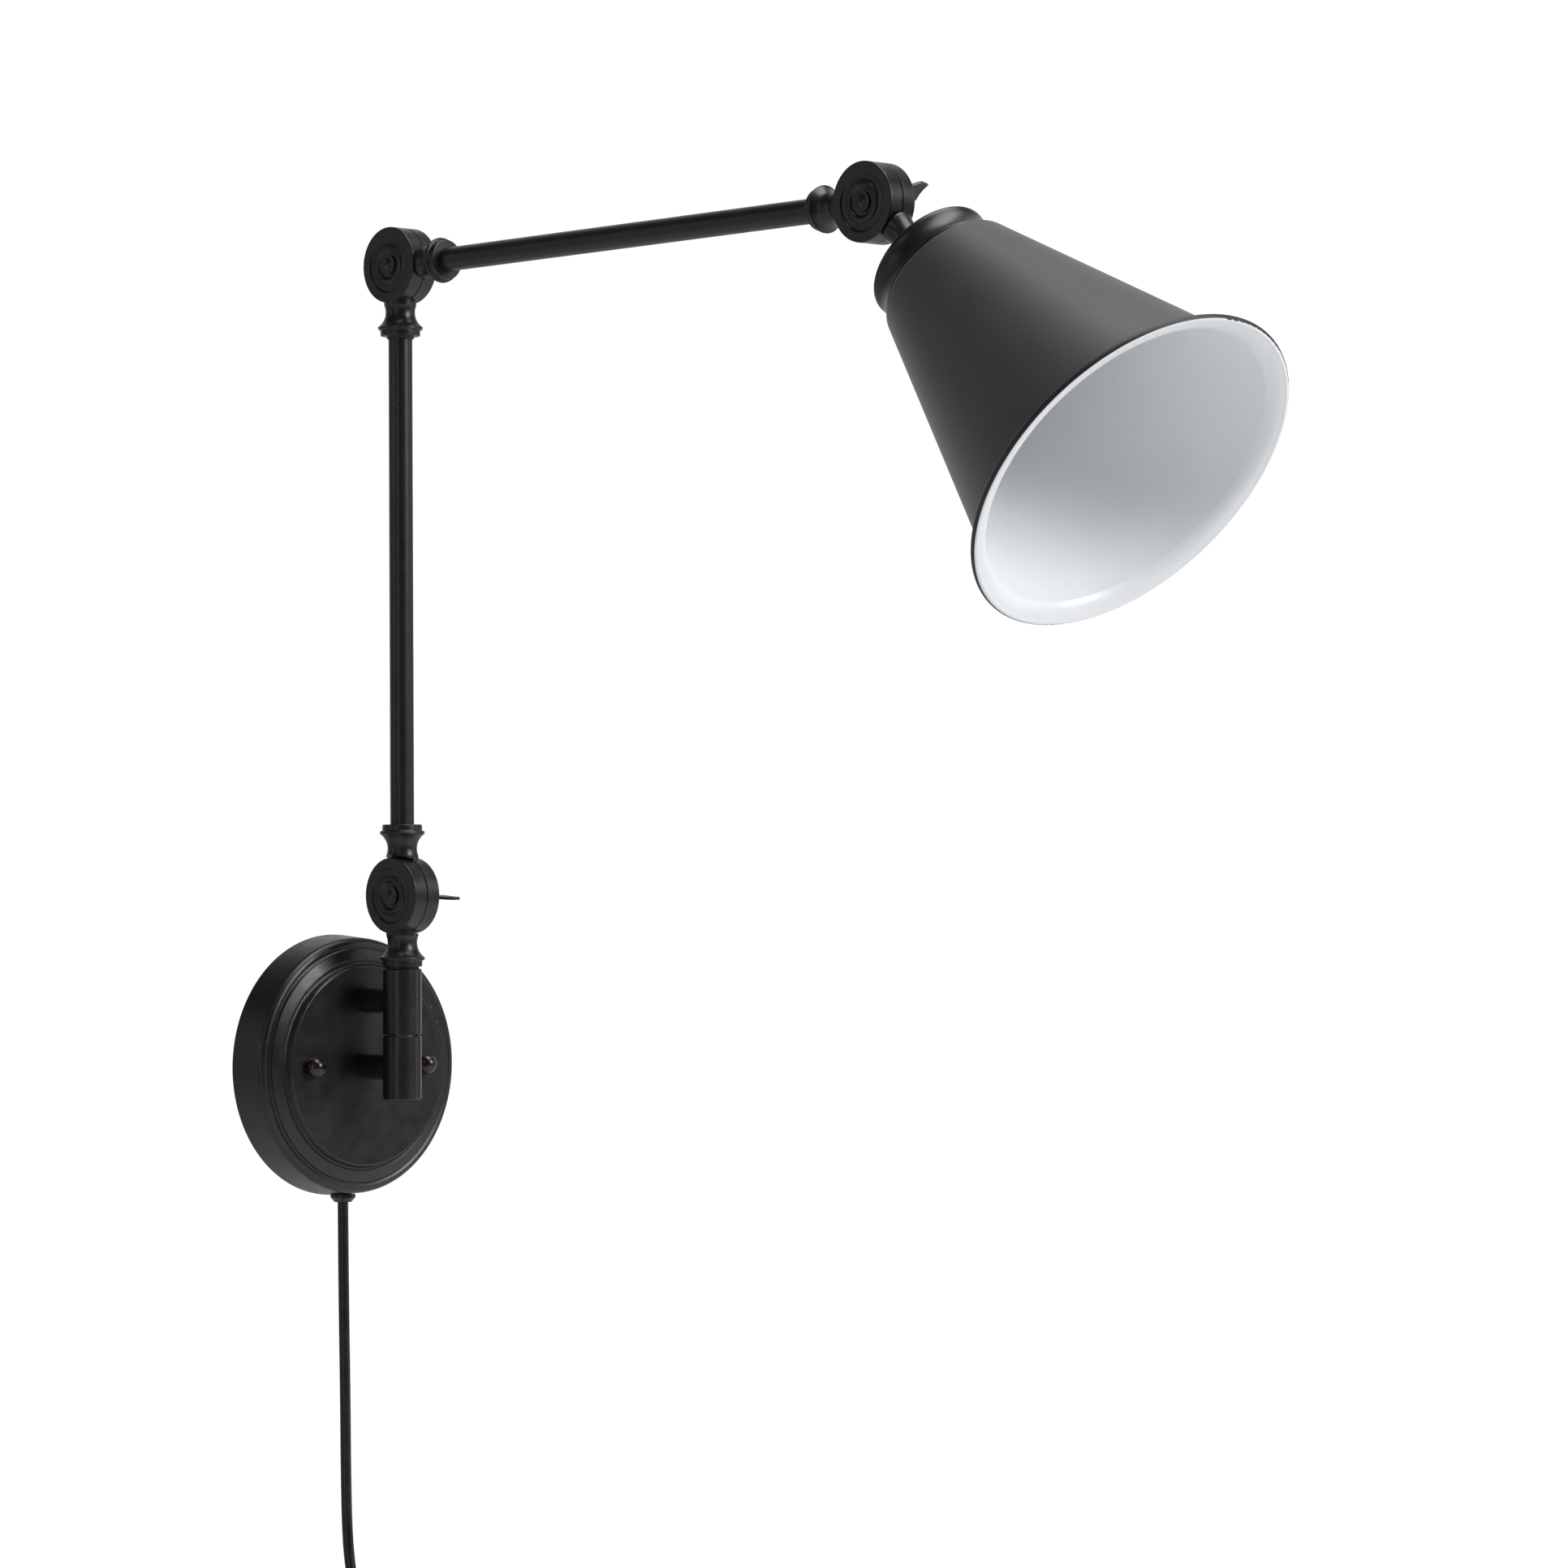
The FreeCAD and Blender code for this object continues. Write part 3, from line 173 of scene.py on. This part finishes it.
class Look:
    """A Principled material whose nodes read the object's own coordinates, in metres."""

    def __init__(self, name, metallic=0.0, roughness=0.5, ior=1.5, coat=0.0, coat_roughness=0.1):
        self.material = bpy.data.materials.new(name)
        self.material.use_nodes = True
        self.tree = self.material.node_tree
        self.shader = self.tree.nodes["Principled BSDF"]
        self.set("Metallic", metallic)
        self.set("Roughness", roughness)
        self.set("IOR", ior)
        self.set("Coat Weight", coat)
        self.set("Coat Roughness", coat_roughness)
        self.place = self.node("ShaderNodeTexCoord").outputs["Object"]

    def set(self, socket, value):
        self.shader.inputs[socket].default_value = value

    def node(self, kind, **settings):
        made = self.tree.nodes.new(kind)
        for name, value in settings.items():
            setattr(made, name, value)
        return made

    def link(self, source, target):
        self.tree.links.new(source, target)

    def stretched(self, scale):
        """The object's coordinates, stretched along each axis."""
        mapping = self.node("ShaderNodeMapping")
        mapping.inputs["Scale"].default_value = scale
        self.link(self.place, mapping.inputs["Vector"])
        return mapping.outputs["Vector"]

    def noise(self, per_metre, detail=3.0, where=None, distortion=0.0):
        """Noise from 0 to 1 with this many features per metre."""
        made = self.node("ShaderNodeTexNoise")
        made.inputs["Scale"].default_value = per_metre
        made.inputs["Detail"].default_value = detail
        made.inputs["Distortion"].default_value = distortion
        self.link(where or self.place, made.inputs["Vector"])
        return made.outputs["Fac"]

    def ramp(self, value, low, high, start=0.3, end=0.7):
        """A colour that goes from low to high as value goes from start to end."""
        made = self.node("ShaderNodeValToRGB")
        made.color_ramp.elements[0].position = start
        made.color_ramp.elements[0].color = (*low, 1.0)
        made.color_ramp.elements[1].position = end
        made.color_ramp.elements[1].color = (*high, 1.0)
        self.link(value, made.inputs["Fac"])
        return made.outputs["Color"]

    def between(self, value, low, high, start=0.3, end=0.7):
        """value mapped onto low to high, held inside them."""
        made = self.node("ShaderNodeMapRange")
        made.inputs["From Min"].default_value = start
        made.inputs["From Max"].default_value = end
        made.inputs["To Min"].default_value = low
        made.inputs["To Max"].default_value = high
        self.link(value, made.inputs["Value"])
        return made.outputs["Result"]

    def math(self, operation, first, second):
        made = self.node("ShaderNodeMath", operation=operation)
        for socket, value in zip(made.inputs, (first, second)):
            if isinstance(value, (int, float)):
                socket.default_value = value
            else:
                self.link(value, socket)
        return made.outputs[0]

    def blend(self, factor, first, second):
        """The first colour where factor is 0, the second where it is 1."""
        made = self.node("ShaderNodeMix", data_type="RGBA")
        self.link(factor, made.inputs["Factor"])
        self.link(first, made.inputs[6])
        self.link(second, made.inputs[7])
        return made.outputs[2]

    def vector(self, operation, first, second):
        """A vector node; second is a fixed vector or another node's output."""
        made = self.node("ShaderNodeVectorMath", operation=operation)
        self.link(first, made.inputs[0])
        if isinstance(second, bpy.types.NodeSocket):
            self.link(second, made.inputs[1])
        else:
            made.inputs[1].default_value = second
        return made.outputs

    def colour(self, source):
        self.link(source, self.shader.inputs["Base Color"])

    def rough(self, source):
        self.link(source, self.shader.inputs["Roughness"])

    def bump(self, height, depth, strength=1.0):
        """Raises the surface by height times depth, in metres."""
        made = self.node("ShaderNodeBump")
        made.inputs["Strength"].default_value = strength
        made.inputs["Distance"].default_value = depth
        self.link(height, made.inputs["Height"])
        self.link(made.outputs["Normal"], self.shader.inputs["Normal"])


def painted(name, low, high, roughness=0.45, spread=0.05, grain=1400.0, depth=0.00001, ior=1.5, coat=0.0):
    """Sprayed paint or moulded plastic: slight mottle, uneven gloss and a fine orange peel."""
    look = Look(name, roughness=roughness, ior=ior, coat=coat)
    look.colour(look.ramp(look.noise(38.0, detail=4.0), low, high))
    look.rough(look.between(look.noise(120.0, detail=5.0), roughness - spread, roughness + spread))
    look.bump(look.noise(grain, detail=2.0), depth)
    return look.material


def brushed(name, low, high, roughness=0.3, stretch=(1.0, 1.0, 0.06), grain=5200.0):
    """Plated or drawn metal with fine lines along Z."""
    look = Look(name, metallic=1.0, roughness=roughness)
    lines = look.noise(grain, detail=2.0, where=look.stretched(stretch))
    look.colour(look.ramp(look.noise(180.0, detail=5.0), low, high))
    look.rough(look.between(lines, roughness - 0.08, roughness + 0.1))
    look.bump(lines, 0.000006)
    return look.material


def bronze(name):
    """Dark oil-rubbed bronze, worn a little browner in patches."""
    look = Look(name, metallic=0.8, roughness=0.26, coat=0.3, coat_roughness=0.1)
    patches = look.noise(150.0, detail=4.0)
    look.colour(look.ramp(patches, (0.026, 0.020, 0.017), (0.050, 0.038, 0.032), 0.3, 0.75))
    look.rough(look.between(patches, 0.22, 0.30))
    look.bump(look.noise(2600.0), 0.000003)
    return look.material


def woven(name, low, high, threads=1500.0):
    """A tight woven band: threads that cross along Z and round the rest."""
    look = Look(name, roughness=0.9, ior=1.4)
    look.set("Sheen Weight", 0.35)
    across = look.node("ShaderNodeTexWave", bands_direction="Z")
    along = look.node("ShaderNodeTexWave", bands_direction="Y")
    for wave in (across, along):
        wave.inputs["Scale"].default_value = threads / math.tau
        wave.inputs["Distortion"].default_value = 0.6
        look.link(look.place, wave.inputs["Vector"])
    weave = look.math("MULTIPLY", across.outputs["Fac"], along.outputs["Fac"])
    look.colour(look.ramp(weave, low, high, 0.1, 0.8))
    look.bump(weave, 0.00012)
    return look.material


# How far along the shade's axis the charcoal paint turns into painted shade, a near-black on the rolled rim, in
# metres.
RIM_SHADE_DEPTHS = (0.2032, 0.2046)
# How far metal may face forward, for its share facing out, before it counts as the white side.
ENAMEL_LEAN = 0.7


def shade_enamel(name, axis):
    """Charcoal paint outside with painted shade darkening the rolled rim, white enamel where the metal faces in or
    forward.
    """
    look = Look(name, roughness=0.45, coat=0.0)
    look.set("Sheen Weight", 0.25)
    look.set("Sheen Roughness", 0.3)
    coords = look.node("ShaderNodeTexCoord")
    offset = look.vector("SUBTRACT", coords.outputs["Object"], HEAD)[0]
    along = look.vector("PROJECT", offset, axis)[0]
    away = look.vector("SUBTRACT", offset, along)[0]
    unit = look.node("ShaderNodeVectorMath", operation="NORMALIZE")
    look.link(away, unit.inputs[0])
    depth = look.vector("DOT_PRODUCT", offset, axis)["Value"]
    rim_shade = look.between(depth, 0.0, 1.0, *RIM_SHADE_DEPTHS)
    lean = look.vector("SUBTRACT", unit.outputs[0], axis * ENAMEL_LEAN)[0]
    facing = look.vector("DOT_PRODUCT", coords.outputs["Normal"], lean)["Value"]
    outside = look.between(facing, 0.0, 1.0, -0.06, 0.06)
    paint = look.ramp(look.noise(26.0, detail=4.0), (0.047, 0.045, 0.047), (0.055, 0.053, 0.055))
    enamel = look.ramp(look.noise(22.0, detail=3.0), (0.86, 0.88, 0.91), (0.89, 0.91, 0.94))
    # painted shade: the rolled rim is coloured near-black for the darkness it reflects, not for its paint
    painted_rim_shade = look.ramp(look.noise(60.0), (0.008, 0.008, 0.008), (0.012, 0.012, 0.012))
    look.colour(look.blend(outside, enamel, look.blend(rim_shade, paint, painted_rim_shade)))
    gloss = look.math("MULTIPLY", look.noise(150.0, detail=4.0), 0.05)
    satin = look.math("MULTIPLY", outside, 0.16)
    look.rough(look.math("ADD", look.math("ADD", gloss, satin), 0.31))
    look.bump(look.noise(1500.0, detail=2.0), 0.000003)
    return look.material


# ---------------------------------------------------------------- the cord

CORD_DIAMETER = 5.5
# The same route as the CAD tube, in millimetres: from the canopy's gland down to the coil.
CORD_DROP = [
    (0.0, -8.0, -69.3),
    (0.5, -8.1, -117.0),
    (1.8, -7.9, -166.0),
    (2.1, -8.1, -206.0),
    (2.1, -9.1, -236.0),
    (2.2, -11.6, -255.0),
    (2.3, -15.3, -267.7),
    (5.9, -19.6, -278.1),
    (12.9, -22.3, -286.7),
    (22.2, -22.5, -292.8),
]
# Off the coil and down into the plug.
CORD_END = [
    (-13.5, -22.5, -293.7),
    (-1.1, -24.0, -289.1),
    (12.1, -27.6, -290.0),
    (23.7, -31.0, -296.2),
    (31.8, -33.0, -306.6),
    (35.0, -33.6, -319.4),
    (35.2, -33.8, -330.0),
]
COIL_CENTRE = Vector((0.0, 0.0, -319.0))
COIL_FRONT = -22.5
COIL_PITCH = 5.6
OUTER_TURN = 34.3
INNER_TURN = 28.7
TURNS_IN_LAYER = 4
STEP_DEGREES = 18
ENTRY_DEGREES = 40
EXIT_DEGREES = -28 + 8 * 360


def smooth(part):
    """0 before 0, 1 after 1 and an even S between them."""
    part = min(1.0, max(0.0, part))
    return part * part * (3.0 - 2.0 * part)


def coil_point(degrees):
    """Where the winding is after this many degrees clockwise from the top, seen from the room."""
    turn = (degrees - 180.0) / 360.0
    whole = math.floor(turn)
    gone = whole + smooth((turn - whole) * 4.0)
    layer = smooth((degrees - TURNS_IN_LAYER * 360.0 - ENTRY_DEGREES - 60.0) / 100.0)
    radius = OUTER_TURN + (INNER_TURN - OUTER_TURN) * layer
    steps = gone if gone <= TURNS_IN_LAYER - 1 else max(TURNS_IN_LAYER - 1, 0)
    if degrees > (TURNS_IN_LAYER + 0.5) * 360.0:
        steps = 2 * TURNS_IN_LAYER - 1 - gone
    depth = COIL_FRONT + COIL_PITCH * max(0.0, min(TURNS_IN_LAYER - 1.0, steps))
    angle = math.radians(degrees)
    # control points of a quadratic curve stand outside its turns by this much
    radius /= math.cos(math.radians(STEP_DEGREES / 2.0))
    return COIL_CENTRE + Vector((radius * math.sin(angle), depth, radius * math.cos(angle)))


def cord_points():
    """The whole cord: drop, winding and tail, as control points in metres."""
    wound = range(ENTRY_DEGREES + STEP_DEGREES, EXIT_DEGREES - STEP_DEGREES // 2, STEP_DEGREES)
    points = [Vector(p) for p in CORD_DROP]
    points += [coil_point(degrees) for degrees in wound]
    points += [Vector(p) for p in CORD_END]
    return [p * MM for p in points]


def loft(name, loops, material, closed=False):
    """A mesh through loops of points, in millimetres; ends capped, or joined up when closed."""
    mesh = bmesh.new()
    rings = [[mesh.verts.new(Vector(point) * MM) for point in loop] for loop in loops]
    pairs = list(zip(rings, rings[1:]))
    if closed:
        pairs.append((rings[-1], rings[0]))
    else:
        mesh.faces.new(list(reversed(rings[0])))
        mesh.faces.new(rings[-1])
    for first, second in pairs:
        for i in range(len(first)):
            following = (i + 1) % len(first)
            mesh.faces.new((first[i], first[following], second[following], second[i]))
    bmesh.ops.recalc_face_normals(mesh, faces=mesh.faces)
    data = bpy.data.meshes.new(name)
    mesh.to_mesh(data)
    mesh.free()
    data.materials.append(material)
    data.shade_smooth()
    made = bpy.data.objects.new(name, data)
    bpy.context.scene.collection.objects.link(made)
    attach(made, "base")
    return made


PLUG_TOP = Vector((35.2, -33.8, -321.0))
RIBS = 6
GRIP_SQUARENESS = 3.6

# Half width, half depth and height of the plug's cuts, in millimetres, the shoulder's with their squareness.
PLUG_SHOULDER = [
    (5.6, 5.6, -14.0, 2.0),
    (6.1, 5.7, -14.9, 2.1),
    (8.2, 6.0, -15.8, 2.5),
    (10.1, 6.2, -17.2, 3.0),
    (11.0, 6.3, -19.0, 3.4),
    (11.2, 6.3, -20.4, 3.6),
]
PLUG_END = [(11.2, 6.3, -34.0), (11.3, 6.3, -36.8), (11.1, 6.1, -37.6), (10.6, 5.6, -38.0)]


def plug_section(half_width, half_depth, height, squareness):
    """One level cut of the plug: an oval, squarer as squareness grows."""
    points = []
    for number in range(64):
        angle = math.tau * number / 64
        across = math.copysign(abs(math.cos(angle)) ** (2.0 / squareness), math.cos(angle))
        deep = math.copysign(abs(math.sin(angle)) ** (2.0 / squareness), math.sin(angle))
        points.append(PLUG_TOP + Vector((half_width * across, half_depth * deep, height)))
    return points


def make_plug(material):
    """A moulded plug: a ribbed, tapered strain relief that swells into a waisted grip."""
    sections = []
    for rib in range(RIBS):
        top = 3.0 - 2.8 * rib
        size = 3.7 + 0.36 * rib
        for drop, extra in ((0.0, -0.55), (0.1, -0.1), (0.35, 0.0), (1.35, 0.1), (1.6, 0.0), (1.7, -0.5)):
            sections.append(plug_section(size + extra, size + extra, top - drop, 2.0))
    for width, depth, height, squareness in PLUG_SHOULDER:
        sections.append(plug_section(width, depth, height, squareness))
    for groove in range(5):
        top = -21.2 - 2.4 * groove
        for drop, inset in ((0.0, 0.0), (0.35, 0.45), (0.85, 0.45), (1.2, 0.0), (1.9, 0.0)):
            sections.append(plug_section(11.0 - inset, 6.2 - inset * 0.5, top - drop, GRIP_SQUARENESS))
    for width, depth, height in PLUG_END:
        sections.append(plug_section(width, depth, height, GRIP_SQUARENESS))
    plug = loft("plug", sections, material)
    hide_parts("plug_body")
    return plug


STRAP_THICK = 0.9
STRAP_HALF_WIDTH = 4.4


def strap_path():
    """The middle line of the strap: once round the bundle of turns, then a tab that lies over its start."""
    left, right, back, front = -37.9, -24.6, -2.2, -26.0
    corner = 3.2
    points = []
    centres = [(left + corner, front + corner, 180), (right - corner, front + corner, 270)]
    centres += [(right - corner, back - corner, 0), (left + corner, back - corner, 90)]
    for across, deep, start in centres:
        for step in range(7):
            angle = math.radians(start + 15 * step)
            points.append((across + corner * math.cos(angle), deep + corner * math.sin(angle)))
    for share in range(1, 13):
        lifted = STRAP_THICK + 0.25 + 0.8 * smooth((share - 8) / 4)
        points.append((left - lifted * smooth(share / 3), back - corner - 1.4 * share))
    return points


def make_tie(material):
    """A hook-and-loop strap with soft edges, wrapped round the coil's turns."""
    points = strap_path()
    loops = []
    for i, (across, deep) in enumerate(points):
        before = Vector(points[max(i - 1, 0)])
        after = Vector(points[min(i + 1, len(points) - 1)])
        way = (after - before).normalized()
        out = Vector((way.y, -way.x))
        loop = []
        for number in range(20):
            angle = math.tau * number / 20
            wide = math.copysign(abs(math.cos(angle)) ** 0.35, math.cos(angle)) * STRAP_HALF_WIDTH
            thick = math.copysign(abs(math.sin(angle)) ** 0.6, math.sin(angle)) * STRAP_THICK / 2.0
            spot = Vector((across, deep)) + out * thick
            loop.append((spot.x, spot.y, COIL_CENTRE.z + wide))
        loops.append(loop)
    tie = loft("tie_strap", loops, material)
    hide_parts("cord_tie")
    return tie


def make_cord(material, plug, tie):
    """The mains cord as one smooth spline, bevelled to its thickness."""
    points = cord_points()
    curve = bpy.data.curves.new("mains_cord", "CURVE")
    curve.dimensions = "3D"
    curve.bevel_depth = CORD_DIAMETER * MM / 2.0
    curve.bevel_resolution = 6
    curve.use_fill_caps = True
    curve.resolution_u = 5
    spline = curve.splines.new("NURBS")
    spline.points.add(len(points) - 1)
    for spot, point in zip(spline.points, points):
        spot.co = (*point, 1.0)
    spline.order_u = 3
    spline.use_endpoint_u = True
    cord = bpy.data.objects.new("mains_cord", curve)
    bpy.context.scene.collection.objects.link(cord)
    curve.materials.append(material)
    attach(cord, "base")
    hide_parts("cord", "cord_coil", "cord_end")
    return cord


# ---------------------------------------------------------------- the nodes' finishes


def finish_nodes():
    """Gives every CAD node the finish of its material slot."""
    droop = math.radians(SHADE_DROOP)
    axis = Vector((0.0, -math.cos(droop), -math.sin(droop)))
    black_low = (0.0068, 0.0064, 0.0066)
    black_high = (0.0092, 0.0088, 0.0089)
    made = {
        "black_paint": painted("black_paint", black_low, black_high, roughness=0.34),
        "shade_paint": shade_enamel("shade_paint", axis),
        "bronze": bronze("bronze"),
        "zinc": brushed("zinc", (0.42, 0.42, 0.40), (0.62, 0.62, 0.60)),
        "friction": painted("friction", (0.30, 0.26, 0.19), (0.42, 0.37, 0.28), roughness=0.8, depth=0.00003),
        "phenolic": painted("phenolic", (0.012, 0.011, 0.010), (0.022, 0.019, 0.017), roughness=0.35),
        "socket_metal": brushed("socket_metal", (0.62, 0.43, 0.17), (0.80, 0.60, 0.30)),
        "cord_jacket": painted("cord_jacket", (0.006, 0.006, 0.006), (0.010, 0.010, 0.011), roughness=0.26),
        "wire_insulation": painted("wire_insulation", (0.01, 0.01, 0.01), (0.02, 0.02, 0.02), roughness=0.35),
        "connector": painted("connector", (0.62, 0.20, 0.02), (0.78, 0.28, 0.04), roughness=0.4),
        "tie": woven("tie", (0.006, 0.006, 0.006), (0.03, 0.03, 0.03)),
    }
    for row in frame["record"]["subparts"]:
        material = made[row["material_slot"]]
        node = NODES[row["node"]]
        node.data.materials.clear()
        node.data.materials.append(material)
    return made


# ---------------------------------------------------------------- the scene

bpy.context.scene.view_settings.view_transform = "Standard"
make_camera()
make_lights()
make_world()
FINISHES = finish_nodes()
make_floor()
VINYL = painted("plug_vinyl", (0.008, 0.008, 0.008), (0.013, 0.013, 0.013), roughness=0.42, depth=0.00003)
make_cord(FINISHES["cord_jacket"], make_plug(VINYL), make_tie(FINISHES["tie"]))
